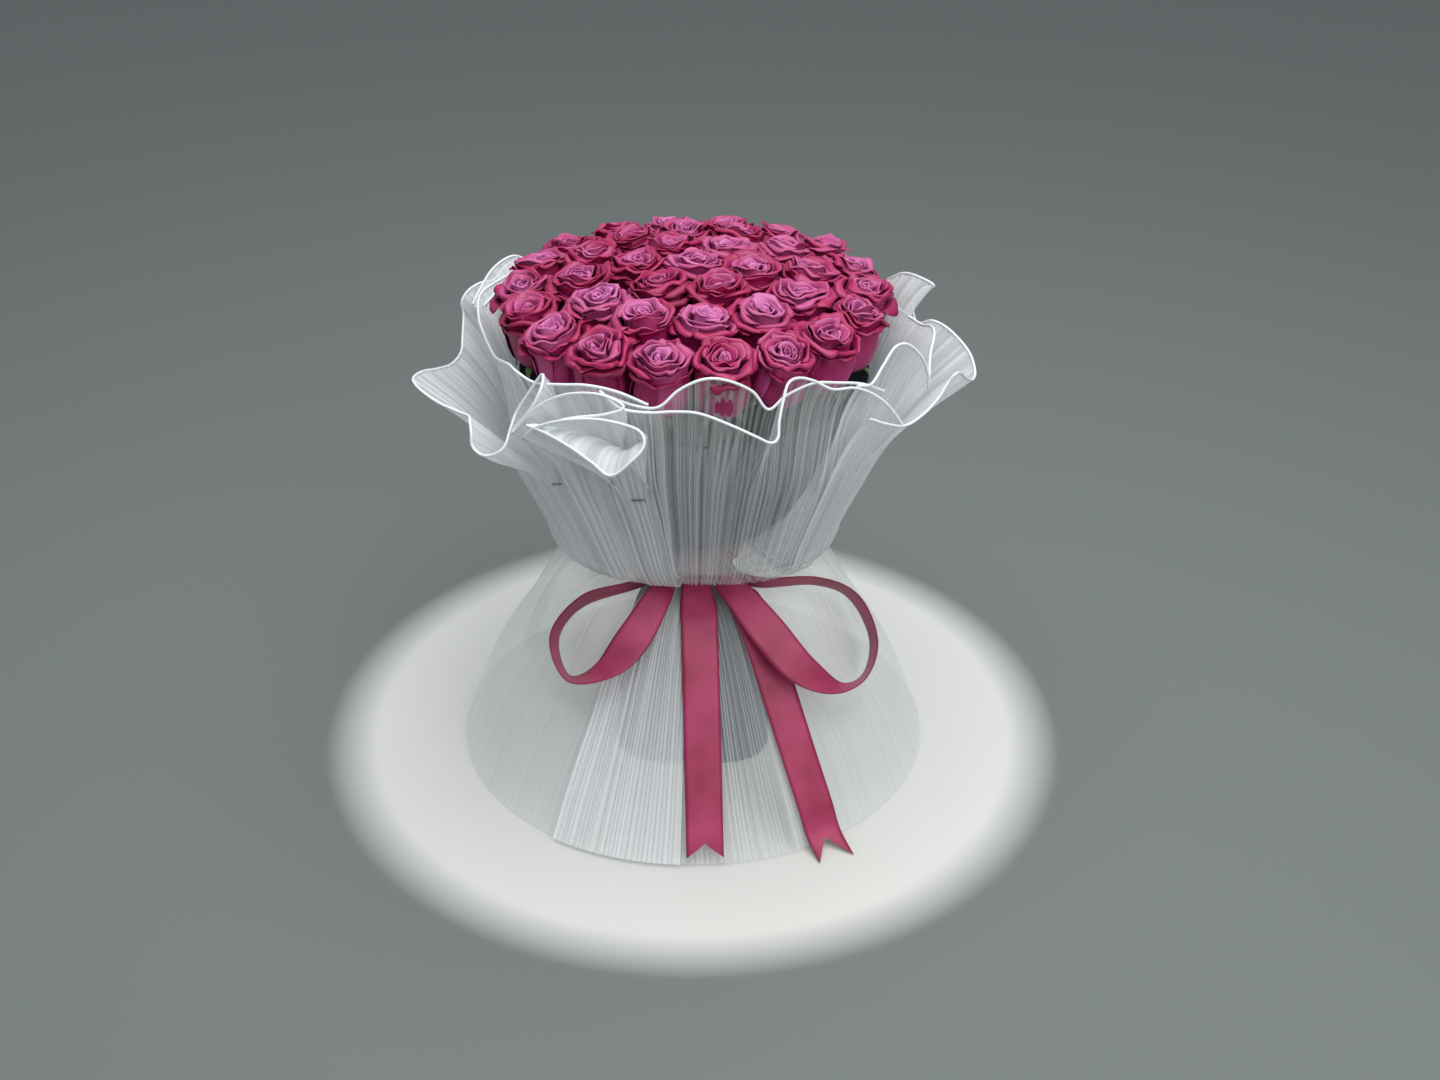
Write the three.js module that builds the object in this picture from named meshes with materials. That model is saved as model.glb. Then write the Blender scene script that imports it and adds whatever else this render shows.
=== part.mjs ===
// A hand-tied bunch of roses in pleated organza, with a satin bow. It stands on its cut stems and its skirt.
// Millimetres, +Z up. The tied stems stand round the Z axis on Z = 0, and -Y is the front, with the bow.
import * as THREE from "three";

const degrees = Math.PI / 180;
const { lerp } = THREE.MathUtils;

// Roses: one in the middle and three rings round it, six more in each ring.
const roseRings = 3;
const ringTurns = [0, 25, 6, 10]; // degrees that each ring is turned
const headRadius = 20.5;
const bloomGap = 2; // between neighbouring blooms
const headPitch = 2 * headRadius + bloomGap;
const headLength = 55;
const domeTop = 443; // top of the middle bloom
const domeDrop = 2.3; // how far ring n sits lower, times n squared
const headTilt = 4.5; // degrees that each ring leans further out
const stemRadius = 2.3;
const stemGapAtTie = 1.8;
const stemPitchAtTie = 2 * stemRadius + stemGapAtTie;
const stemPitchAtFoot = 13;
const twistAboveTie = 35; // degrees that the stems spiral between the blooms and the tie
const twistBelowTie = 35; // and between the tie and their cut ends
const roseSides = 8;
// A bloom from its base to its top: share of its length, share of its radius.
const headOutline = [
  [0, 0.3],
  [0.2, 0.8],
  [0.52, 1],
  [0.9, 0.86],
  [1, 0.5],
];

// The waist, where everything is tied.
const tieHeight = 190;
const tapeHeight = 12;
const tapeWall = 1.6;
const tieClearanceShare = 0.0235; // of the dome's radius, from the outer stems, which lean out, to the tape
const neckClearance = 5; // from the tape to the inner paper, filled by its folds
const sheetWall = 1.2; // a sheet with its pleats, as a solid
const lapGap = 3; // between the middles of sheets that lap

const domeRadius = roseRings * headPitch + headRadius;
const tieClearance = tieClearanceShare * domeRadius;
const tapeInner = roseRings * stemPitchAtTie + stemRadius + tieClearance;
const paperNeck = tapeInner + tapeWall + neckClearance;

// Inner paper: a square-footed sleeve round the stems, and a liner under the blooms.
const sleeveFoot = 72; // half the width of its foot
const sleeveSquareness = 0.09;
const sleeveTop = tieHeight - 28;
const linerFoot = tieHeight + 8;
const linerInset = 10.5; // how far inside the outermost blooms it ends
const linerHeight = 348;

// An outline from a neck to an edge, both [radius, height], through shares of the way out and up or down.
function outlineThrough(shares, neck, edge) {
  return shares.map(([out, along]) => [lerp(neck[0], edge[0], out), lerp(neck[1], edge[1], along)]);
}

const skirtNeckGap = 4.9; // from the inner paper's neck to the skirt's
const skirtNeck = [paperNeck + skirtNeckGap, tieHeight - 26];
const skirtFootFront = 198;
const skirtFootSide = 203;
const skirtFootBack = 206;
const skirtFront = outlineThrough(
  [[0, 0], [0.148, -0.012], [0.321, 0.055], [0.506, 0.268], [0.704, 0.555], [0.889, 0.829], [1, 1]],
  skirtNeck, [skirtFootFront, 0],
);
const skirtSide = outlineThrough(
  [[0, 0], [0.144, -0.073], [0.293, -0.128], [0.443, -0.079], [0.641, 0.268], [0.832, 0.585], [1, 1]],
  skirtNeck, [skirtFootSide, 0],
);
const skirtBack = outlineThrough(
  [[0, 0], [0.141, -0.061], [0.288, -0.098], [0.447, -0.024], [0.647, 0.299], [0.835, 0.61], [1, 1]],
  skirtNeck, [skirtFootBack, 0],
);

const collarNeck = [skirtNeck[0] + 2, tieHeight + 17];
const rimBeyondSide = 64.5; // reach of the ruffled hem past the outermost blooms
const rimBeyondFront = 20.5;
const rimBeyondBack = 38.5;
const rimHeightSide = 352;
const rimHeightFront = 384;
const rimHeightBack = 376;
const collarFront = outlineThrough(
  [
    [0, 0], [0.152, -0.017], [0.311, -0.051], [0.417, -0.034],
    [0.523, 0.119], [0.652, 0.39], [0.818, 0.695], [1, 1],
  ],
  collarNeck, [domeRadius + rimBeyondFront, rimHeightFront],
);
const collarSide = outlineThrough(
  [
    [0, 0], [0.136, -0.021], [0.307, -0.069], [0.443, -0.041],
    [0.49, 0.117], [0.574, 0.352], [0.7, 0.641], [1, 1],
  ],
  collarNeck, [domeRadius + rimBeyondSide, rimHeightSide],
);
const collarBack = outlineThrough(
  [
    [0, 0], [0.147, -0.016], [0.307, -0.047], [0.427, -0.031],
    [0.587, 0.119], [0.733, 0.358], [0.86, 0.637], [1, 1],
  ],
  collarNeck, [domeRadius + rimBeyondBack, rimHeightBack],
);
const rimWaves = 11;
const rimWaveHeight = 9; // how far the ruffle rises and falls
const rimWaveReach = 4;

// Sheets as [name, start and end azimuth at the neck, then at the far edge, laps], from +X towards +Y.
const collarSheets = [
  ["collar_left", 153, 268, 153, 259],
  ["collar_front", 248, 328, 248, 325],
  ["collar_right", 318, 423, 315, 423],
  ["collar_back", 54, 162, 54, 162],
];
const skirtSheets = [
  ["skirt_front_left", 240, 268, 237, 268, 2],
  ["skirt_front_right", 264, 300, 264, 308, 1],
  ["skirt_side_right", 292, 400, 296, 400, 0],
  ["skirt_side_left", 138, 246, 138, 242, 0],
  ["skirt_back", 32, 146, 32, 146, -1],
];
const degreesPerStep = 9;

// Ribbon.
const ribbonWidth = 30;
const ribbonWall = 1.2;
const ribbonClearance = 2; // from the sheets to the ribbon that lies on them
const bandWidth = 20;
const bandClearance = 4.4; // from the skirt's neck to the band
const knotWidth = 22;
const knotHeight = 21;
const knotDepth = 12;
const knotRounding = 4;
const loopWidth = 26; // of the ribbon in the loops, which is a little folded there
const notchShare = 0.09; // depth of the V cut in a tail, as a share of its length
const tailLeftAzimuth = 273.7;
const tailRightAzimuth = [297, 302.5];
const tailRightReach = 225; // where the right tail ends on the ground

// Staples that hold the folded-back flap of the left collar sheet.
const stapleSpots = [
  ["staple_left", 229, 0.83],
  ["staple_right", 254, 0.8],
];
const stapleLength = 10;
const stapleWire = 1.4;
const stapleClearance = 1.5;

const colours = {
  rose: 0xa83a72,
  tape: 0x5f7a46,
  paper: 0x5f666d,
  organza: 0xe9edec,
  ribbon: 0xa9466c,
  staple: 0x8d9092,
};

const bouquet = new THREE.Group();

function addPiece(name, geometry, colour, roughness, metalness = 0) {
  geometry.computeVertexNormals();
  const material = new THREE.MeshStandardMaterial({ color: colour, roughness, metalness, flatShading: true });
  const mesh = new THREE.Mesh(geometry, material);
  mesh.name = name;
  bouquet.add(mesh);
}

function polar(radius, azimuth, height) {
  const angle = azimuth * degrees;
  return new THREE.Vector3(radius * Math.cos(angle), radius * Math.sin(angle), height);
}

function geometryFrom(points, faces) {
  const geometry = new THREE.BufferGeometry().setFromPoints(points);
  geometry.setIndex(faces);
  return geometry;
}

// A solid through a row of rings with equally many points, each anticlockwise seen from the row's far end.
function loft(rings) {
  const count = rings[0].length;
  const points = rings.flat();
  const faces = [];
  for (let i = 0; i < rings.length - 1; i++) {
    for (let j = 0; j < count; j++) {
      const a = i * count + j;
      const b = i * count + ((j + 1) % count);
      faces.push(a, b, b + count, a, b + count, a + count);
    }
  }
  for (const [ring, first] of [[rings[0], 0], [rings.at(-1), (rings.length - 1) * count]]) {
    const middle = points.length;
    const sum = ring.reduce((total, p) => total.add(p), new THREE.Vector3());
    points.push(sum.divideScalar(count));
    for (let j = 0; j < count; j++) {
      const next = (j + 1) % count;
      faces.push(middle, ...(first ? [first + j, first + next] : [next, j]));
    }
  }
  return geometryFrom(points, faces);
}

// A closed wall round the surface at(u, v), its outside towards the cross product of its u and v directions.
function wall(at, stepsU, stepsV, thickness, closed = false) {
  const nudge = 1e-3;
  const columns = closed ? stepsU : stepsU + 1;
  const sides = [[], []];
  for (let i = 0; i < columns; i++) {
    for (let j = 0; j <= stepsV; j++) {
      const u = i / stepsU;
      const v = j / stepsV;
      const [u0, u1] = closed ? [u - nudge, u + nudge] : [Math.max(u - nudge, 0), Math.min(u + nudge, 1)];
      const alongU = at(u1, v).sub(at(u0, v));
      const alongV = at(u, Math.min(v + nudge, 1)).sub(at(u, Math.max(v - nudge, 0)));
      const normal = alongU.cross(alongV).setLength(thickness / 2);
      const middle = at(u, v);
      for (const [side, sign] of [[0, 1], [1, -1]]) {
        const point = middle.clone().addScaledVector(normal, sign);
        point.z = Math.max(point.z, 0); // cut level with the ground
        sides[side].push(point);
      }
    }
  }
  const row = stepsV + 1;
  const half = sides[0].length;
  const at2 = (i, j) => (i % columns) * row + j;
  const faces = [];
  const quad = (a, b, c, d) => faces.push(a, b, c, a, c, d);
  for (let i = 0; i < stepsU; i++) {
    for (let j = 0; j < stepsV; j++) {
      const [a, b, c, d] = [at2(i, j), at2(i + 1, j), at2(i + 1, j + 1), at2(i, j + 1)];
      quad(a, b, c, d);
      quad(half + a, half + d, half + c, half + b); // split along the same diagonal as the other side
    }
    const [a, b] = [at2(i, 0), at2(i + 1, 0)];
    quad(half + a, half + b, b, a);
    const [c, d] = [at2(i, stepsV), at2(i + 1, stepsV)];
    quad(c, d, half + d, half + c);
  }
  for (let j = 0; j < stepsV && !closed; j++) {
    const [a, b] = [at2(0, j), at2(0, j + 1)];
    quad(a, b, half + b, half + a);
    const [c, d] = [at2(stepsU, j), at2(stepsU, j + 1)];
    quad(half + c, half + d, d, c);
  }
  return geometryFrom([...sides[0], ...sides[1]], faces);
}

function pointOn(outline, v) {
  const place = Math.min(v, 1) * (outline.length - 1);
  const index = Math.min(Math.floor(place), outline.length - 2);
  return [0, 1].map((k) => lerp(outline[index][k], outline[index + 1][k], place - index));
}

// Where a sheet is at an azimuth, between its front, side and back outlines.
function blended(outlines, azimuth, v) {
  const facing = -Math.sin(azimuth * degrees);
  const share = Math.abs(facing) ** 2.6;
  const [front, side, back] = outlines.map((outline) => pointOn(outline, v));
  const end = facing > 0 ? front : back;
  return [lerp(side[0], end[0], share), lerp(side[1], end[1], share)];
}

// The same, moved outwards by an offset at right angles to the outline.
function offsetPoint(outlines, azimuth, v, offset, turn) {
  const step = 0.02;
  const [r0, z0] = blended(outlines, azimuth, Math.max(v - step, 0));
  const [r1, z1] = blended(outlines, azimuth, Math.min(v + step, 1));
  const length = Math.hypot(r1 - r0, z1 - z0);
  const [r, z] = blended(outlines, azimuth, v);
  return polar(r - (turn * offset * (z1 - z0)) / length, azimuth, z + (turn * offset * (r1 - r0)) / length);
}

const skirtOutlines = [skirtFront, skirtSide, skirtBack];
const collarOutlines = [collarFront, collarSide, collarBack];

function onSkirt(azimuth, v, offset) {
  return offsetPoint(skirtOutlines, azimuth, v, offset, 1);
}

function onCollar(azimuth, v, offset) {
  const point = offsetPoint(collarOutlines, azimuth, v, offset, -1);
  const wave = Math.sin(rimWaves * azimuth * degrees) * v ** 6;
  const reach = 1 + (rimWaveReach * wave) / Math.hypot(point.x, point.y);
  return new THREE.Vector3(point.x * reach, point.y * reach, point.z + rimWaveHeight * wave);
}

function roseRing(centre, axis, radius) {
  const side = new THREE.Vector3(1, 0, 0).addScaledVector(axis, -axis.x).normalize();
  const other = axis.clone().cross(side);
  return Array.from({ length: roseSides }, (_, i) => {
    const angle = (2 * Math.PI * i) / roseSides;
    return centre.clone()
      .addScaledVector(side, radius * Math.cos(angle))
      .addScaledVector(other, radius * Math.sin(angle));
  });
}

function makeRose(ring, azimuth) {
  const up = new THREE.Vector3(0, 0, 1);
  const tilt = ring * headTilt;
  const axis = polar(Math.sin(tilt * degrees), azimuth, Math.cos(tilt * degrees));
  const widest = headOutline[2][0] * headLength;
  const middle = polar(ring * headPitch, azimuth, domeTop - headLength + widest - domeDrop * ring ** 2);
  const base = middle.clone().addScaledVector(axis, -widest);
  const neck = base.clone().addScaledVector(axis, -headLength / 4);
  const rings = [
    roseRing(polar(ring * stemPitchAtFoot, azimuth + twistAboveTie + twistBelowTie, 0), up, stemRadius),
    roseRing(polar(ring * stemPitchAtTie, azimuth + twistAboveTie, tieHeight), up, stemRadius),
    roseRing(neck, axis, stemRadius),
  ];
  for (const [along, out] of headOutline) {
    const centre = base.clone().addScaledVector(axis, along * headLength);
    rings.push(roseRing(centre, axis, out * headRadius));
  }
  return loft(rings);
}

function addRoses() {
  let count = 0;
  for (let ring = 0; ring <= roseRings; ring++) {
    const inRing = Math.max(6 * ring, 1);
    for (let i = 0; i < inRing; i++) {
      count += 1;
      const azimuth = 270 + ringTurns[ring] + (360 * i) / inRing;
      addPiece(`rose_${String(count).padStart(2, "0")}`, makeRose(ring, azimuth), colours.rose, 0.6);
    }
  }
}

function addTape() {
  const low = tieHeight - tapeHeight / 2;
  const high = tieHeight + tapeHeight / 2;
  const outer = tapeInner + tapeWall;
  const section = [[outer, low], [outer, high], [tapeInner, high], [tapeInner, low], [outer, low]];
  const profile = section.map(([r, z]) => new THREE.Vector2(r, z));
  const geometry = new THREE.LatheGeometry(profile, 20).rotateX(Math.PI / 2);
  addPiece("binding_tape", geometry, colours.tape, 0.7);
}

function addInnerPaper() {
  const shoulder = sleeveTop * 0.864;
  const sleeve = [
    [sleeveFoot, 0],
    [sleeveFoot * 0.93, sleeveTop * 0.309],
    [sleeveFoot * 0.8, sleeveTop * 0.617],
    [sleeveFoot * 0.58, shoulder],
    [paperNeck, sleeveTop],
  ];
  const liner = outlineThrough(
    [[0, 0], [0.12, 0.18], [0.379, 0.427], [0.694, 0.713], [1, 1]],
    [paperNeck, linerFoot], [domeRadius - linerInset, linerHeight],
  );
  const outline = [...sleeve, ...liner];
  const at = (u, v) => {
    const azimuth = 360 * u;
    const [r, z] = pointOn(outline, v);
    const fade = Math.max(1 - z / shoulder, 0);
    const square = 1 + sleeveSquareness * Math.cos(4 * (azimuth - 45) * degrees) * fade;
    return polar(r * square, azimuth, z);
  };
  addPiece("inner_paper", wall(at, 28, outline.length - 1, sheetWall, true), colours.paper, 0.85);
}

// The columns of a sheet stand on shared azimuths, so that sheets which lap have the same facets.
function columnsOf([, startNeck, endNeck, startEdge, endEdge]) {
  const columns = [[startNeck, startEdge]];
  const end = Math.min(endNeck, endEdge);
  let azimuth = (Math.floor(Math.max(startNeck, startEdge) / degreesPerStep) + 1) * degreesPerStep;
  for (; azimuth < end; azimuth += degreesPerStep) columns.push([azimuth, azimuth]);
  columns.push([endNeck, endEdge]);
  return columns;
}

function azimuthAt(columns, u, v) {
  return lerp(...pointOn(columns, u), v);
}

function addSheets() {
  for (const sheet of collarSheets) {
    const columns = columnsOf(sheet);
    const at = (u, v) => onCollar(azimuthAt(columns, u, v), v, lapGap * u);
    addPiece(sheet[0], wall(at, columns.length - 1, collarFront.length - 1, sheetWall), colours.organza, 0.5);
  }
  for (const sheet of skirtSheets) {
    const columns = columnsOf(sheet);
    const at = (u, v) => onSkirt(azimuthAt(columns, 1 - u, v), v, lapGap * sheet[5]);
    addPiece(sheet[0], wall(at, columns.length - 1, skirtFront.length - 1, sheetWall), colours.organza, 0.5);
  }
}

function addStaples() {
  for (const [name, azimuth, v] of stapleSpots) {
    const offset = lapGap + sheetWall / 2 + stapleClearance + stapleWire / 2;
    const middle = onCollar(azimuth, v, offset);
    const along = onCollar(azimuth + 1, v, offset).sub(middle).normalize();
    const rise = onCollar(azimuth, v + 0.02, offset).sub(middle);
    const up = rise.addScaledVector(along, -rise.dot(along)).normalize();
    const geometry = new THREE.BoxGeometry(stapleLength, stapleWire, stapleWire);
    const turned = new THREE.Matrix4().makeBasis(along, up, along.clone().cross(up)).setPosition(middle);
    addPiece(name, geometry.applyMatrix4(turned), colours.staple, 0.35, 0.9);
  }
}

// A ribbon along a path of [point, direction across it, width], with a V cut at its far end if notched.
function ribbon(stations, steps, notch = 0) {
  const path = new THREE.CatmullRomCurve3(stations.map(([p]) => new THREE.Vector3(...p)));
  const across = new THREE.CatmullRomCurve3(stations.map(([, w]) => new THREE.Vector3(...w)));
  const widths = stations.map(([, , width]) => [width, 0]);
  const at = (u, v) => {
    const along = u * (1 - notch * (1 - Math.abs(2 * v - 1)) * u);
    const width = pointOn(widths, along)[0];
    return path.getPoint(along).addScaledVector(across.getPoint(along).normalize(), (v - 0.5) * width);
  };
  return wall(at, steps, 2, ribbonWall);
}

const bandRadius = skirtNeck[0] + bandClearance + ribbonWall / 2;
const knotFront = bandRadius + ribbonWall / 2 + 0.4 + knotDepth;
const knotMiddle = knotFront - knotDepth / 2;

function addBandAndKnot() {
  const low = tieHeight - bandWidth / 2;
  const at = (u, v) => polar(bandRadius, 360 * u, low + bandWidth * v);
  addPiece("waist_ribbon", wall(at, 28, 1, ribbonWall, true), colours.ribbon, 0.4);

  const outline = new THREE.Shape();
  const x = knotWidth / 2 - knotRounding;
  const y = knotHeight / 2 - knotRounding;
  outline.absarc(x, y, knotRounding, 0, 90 * degrees);
  outline.absarc(-x, y, knotRounding, 90 * degrees, 180 * degrees);
  outline.absarc(-x, -y, knotRounding, 180 * degrees, 270 * degrees);
  outline.absarc(x, -y, knotRounding, 270 * degrees, 360 * degrees);
  const depth = { depth: knotDepth, bevelEnabled: false, curveSegments: 3 };
  const geometry = new THREE.ExtrudeGeometry(outline, depth).rotateX(90 * degrees);
  geometry.translate(0, knotDepth - knotFront, tieHeight - 1);
  addPiece("bow_knot", geometry, colours.ribbon, 0.4);
}

function addLoops() {
  const root = knotWidth / 2 + 1.5;
  const gathered = 12; // width of the ribbon where it leaves the knot
  // Heights in the loops are shares of the tie's height.
  const left = [
    [[-root, -knotMiddle, 1], [0, 0, 1], gathered],
    [[-46, -68, 0.963], [-0.1, -0.5, 0.8], 16],
    [[-88, -86, 0.937], [0, -0.6, 0.8], loopWidth],
    [[-111, -97, 0.789], [-0.2, -0.75, 0.6], loopWidth],
    [[-99, -120, 0.663], [0, -0.86, 0.4], loopWidth],
    [[-69, -126, 0.726], [0.5, -0.7, 0.1], loopWidth],
    [[-46, -112, 0.842], [0.8, -0.4, -0.35], loopWidth],
    [[-27, -84, 0.953], [0.7, -0.3, -0.5], 18],
    [[-root, -knotMiddle - 5, 1 - 3 / tieHeight], [0.1, 0, -1], gathered],
  ];
  const right = [
    [[root, -knotMiddle, 1], [0, 0, 1], gathered],
    [[52, -64, 0.968], [0.1, -0.4, 0.85], 16],
    [[101, -60, 0.963], [0.1, -0.6, 0.8], 18],
    [[133, -54, 0.863], [0.25, -0.75, 0.6], loopWidth],
    [[150, -68, 0.695], [0.2, -0.85, 0.5], loopWidth],
    [[142, -94, 0.595], [0, -0.86, 0.4], loopWidth],
    [[118, -116, 0.611], [-0.3, -0.8, 0.2], loopWidth],
    [[88, -121, 0.726], [-0.7, -0.5, -0.2], loopWidth],
    [[60, -106, 0.874], [-0.8, -0.4, -0.4], loopWidth],
    [[36, -80, 0.963], [-0.7, -0.3, -0.5], 18],
    [[root, -knotMiddle - 5, 1 - 3 / tieHeight], [-0.1, 0, -1], gathered],
  ];
  const raised = (loop) => loop.map(([[x, y, share], ...rest]) => [[x, y, share * tieHeight], ...rest]);
  addPiece("bow_loop_left", ribbon(raised(left), 22), colours.ribbon, 0.4);
  addPiece("bow_loop_right", ribbon(raised(right), 24), colours.ribbon, 0.4);
}

function addTails() {
  const clear = lapGap * 2 + sheetWall / 2 + ribbonClearance + ribbonWall / 2;
  const drop = [0.27, 0.35, 0.47, 0.6, 0.75, 0.88, 0.97];
  const start = [0, -knotFront - 1.5, tieHeight - 8];
  const station = (azimuth, v, lift, direction) => {
    const point = onSkirt(azimuth, v, lift);
    return [point.toArray(), direction, ribbonWidth];
  };
  const leftDirection = polar(1, tailLeftAzimuth + 90, 0).toArray();
  const left = [
    [[start[0] + 2, start[1], start[2]], leftDirection, 20],
    ...drop.map((v) => station(tailLeftAzimuth, v, clear, leftDirection)),
  ];
  addPiece("bow_tail_left", ribbon(left, 12, notchShare), colours.ribbon, 0.4);

  const rightDirection = polar(1, tailRightAzimuth[0] + 84, 0).toArray();
  const ground = polar(tailRightReach, tailRightAzimuth[1] - 0.5, ribbonWall / 2).toArray();
  const right = [
    [[24, -knotFront - 6, start[2] - 3], [0.9, 0.1, 0.35], 14],
    ...drop.map((v) => {
      return station(lerp(...tailRightAzimuth, v), v, clear, rightDirection);
    }),
    [ground, rightDirection, ribbonWidth],
  ];
  addPiece("bow_tail_right", ribbon(right, 14, notchShare), colours.ribbon, 0.4);
}

addRoses();
addTape();
addInnerPaper();
addSheets();
addStaples();
addBandAndKnot();
addLoops();
addTails();

export default bouquet;
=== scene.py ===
import math

import bpy
import numpy as np
from mathutils import Matrix, Vector


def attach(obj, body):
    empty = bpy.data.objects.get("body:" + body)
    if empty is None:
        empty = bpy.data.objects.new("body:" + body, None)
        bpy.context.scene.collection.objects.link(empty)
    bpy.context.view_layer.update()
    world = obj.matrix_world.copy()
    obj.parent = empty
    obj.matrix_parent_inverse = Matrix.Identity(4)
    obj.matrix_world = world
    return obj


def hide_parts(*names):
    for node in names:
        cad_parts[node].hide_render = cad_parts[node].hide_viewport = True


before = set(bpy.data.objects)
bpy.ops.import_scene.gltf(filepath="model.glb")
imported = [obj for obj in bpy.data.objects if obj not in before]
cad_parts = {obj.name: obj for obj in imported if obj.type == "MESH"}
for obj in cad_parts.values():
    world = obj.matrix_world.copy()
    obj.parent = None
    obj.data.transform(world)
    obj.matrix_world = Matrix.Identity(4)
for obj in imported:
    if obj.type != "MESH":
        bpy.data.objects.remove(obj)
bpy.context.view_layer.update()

scene = bpy.context.scene


def polar(reach, azimuth, height):
    angle = np.radians(azimuth)
    return np.stack(np.broadcast_arrays(reach * np.cos(angle), reach * np.sin(angle), height), axis=-1)


def smoothCurve(points, places):
    # a smooth curve through points, read at places from 0 to 1
    points = np.asarray(points, float)
    padded = np.vstack([2 * points[0] - points[1], points, 2 * points[-1] - points[-2]])
    spot = np.clip(places, 0, 1) * (len(points) - 1)
    index = np.minimum(spot.astype(int), len(points) - 2)
    t = (spot - index)[..., None]
    a, b, c, d = (padded[index + k] for k in range(4))
    return 0.5 * (2 * b + (c - a) * t + (2 * a - 5 * b + 4 * c - d) * t ** 2
                  + (3 * b - a - 3 * c + d) * t ** 3)


def smoothStep(x):
    x = np.clip(x, 0, 1)
    return x * x * (3 - 2 * x)


def gridFaces(rows, columns, closed=False):
    i, j = np.meshgrid(np.arange(rows - 1), np.arange(columns if closed else columns - 1), indexing="ij")
    k = (j + 1) % columns
    corners = [i * columns + j, i * columns + k, (i + 1) * columns + k, (i + 1) * columns + j]
    return np.stack(corners, -1).reshape(-1, 4)


def gridNormals(grid):
    normal = np.cross(np.gradient(grid, axis=1), np.gradient(grid, axis=0))
    return normal / np.maximum(np.linalg.norm(normal, axis=-1, keepdims=True), 1e-12)


def makeMesh(name, points, faces, floats=None, uv=None):
    mesh = bpy.data.meshes.new(name)
    mesh.from_pydata(points.tolist(), [], faces if isinstance(faces, list) else faces.tolist())
    for key, values in (floats or {}).items():
        layer = mesh.attributes.new(key, "FLOAT", "POINT")
        layer.data.foreach_set("value", np.asarray(values, np.float32).ravel())
    if uv is not None:
        corners = np.empty(len(mesh.loops), int)
        mesh.loops.foreach_get("vertex_index", corners)
        layer = mesh.uv_layers.new(name="UVMap")
        layer.data.foreach_set("uv", np.asarray(uv, np.float32)[corners].ravel())
    mesh.polygons.foreach_set("use_smooth", np.ones(len(mesh.polygons), bool))
    mesh.update()
    return mesh


def addPiece(name, mesh, material, replaced=()):
    if material is not None:
        mesh.materials.clear()
        mesh.materials.append(material)
    piece = bpy.data.objects.new(name, mesh)
    scene.collection.objects.link(piece)
    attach(piece, "root")
    if replaced:
        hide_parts(*replaced)
    return piece


def thinSolid(grid, thickness):
    # both faces and the rim of a sheet with a thickness; its normals point away from the second face
    normal = gridNormals(grid)
    rows, columns = grid.shape[:2]
    half = thickness / 2
    points = np.concatenate([(grid + normal * half).reshape(-1, 3), (grid - normal * half).reshape(-1, 3)])
    front = gridFaces(rows, columns)
    count = rows * columns
    loop = np.concatenate([
        np.arange(columns), np.arange(1, rows) * columns + columns - 1,
        (rows - 1) * columns + np.arange(columns - 2, -1, -1), np.arange(rows - 2, 0, -1) * columns,
    ])
    after = np.roll(loop, -1)
    rim = np.stack([loop, loop + count, after + count, after], -1)
    return points, np.concatenate([front, front[:, ::-1] + count, rim])


def newTree(name, inputs):
    tree = bpy.data.node_groups.new(name, "GeometryNodeTree")
    tree.interface.new_socket("Geometry", in_out="INPUT", socket_type="NodeSocketGeometry")
    for label, kind in inputs:
        tree.interface.new_socket(label, in_out="INPUT", socket_type=kind)
    tree.interface.new_socket("Geometry", in_out="OUTPUT", socket_type="NodeSocketGeometry")
    return tree, tree.nodes.new("NodeGroupInput"), tree.nodes.new("NodeGroupOutput")


def mathNode(tree, operation, first, second=None, third=None):
    node = tree.nodes.new("ShaderNodeMath")
    node.operation = operation
    for socket, value in zip(node.inputs, (first, second, third)):
        if isinstance(value, bpy.types.NodeSocket):
            tree.links.new(value, socket)
        elif value is not None:
            socket.default_value = value
    return node.outputs[0]


def namedFloat(tree, name):
    node = tree.nodes.new("GeometryNodeInputNamedAttribute")
    node.data_type = "FLOAT"
    node.inputs["Name"].default_value = name
    return node.outputs["Attribute"]


def closeTree(tree, geometry, source, sink):
    # every tree ends in Realize Instances and Set Material
    realize = tree.nodes.new("GeometryNodeRealizeInstances")
    paint = tree.nodes.new("GeometryNodeSetMaterial")
    tree.links.new(geometry, realize.inputs[0])
    tree.links.new(realize.outputs[0], paint.inputs["Geometry"])
    tree.links.new(source.outputs["Material"], paint.inputs["Material"])
    tree.links.new(paint.outputs[0], sink.inputs[0])


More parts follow.
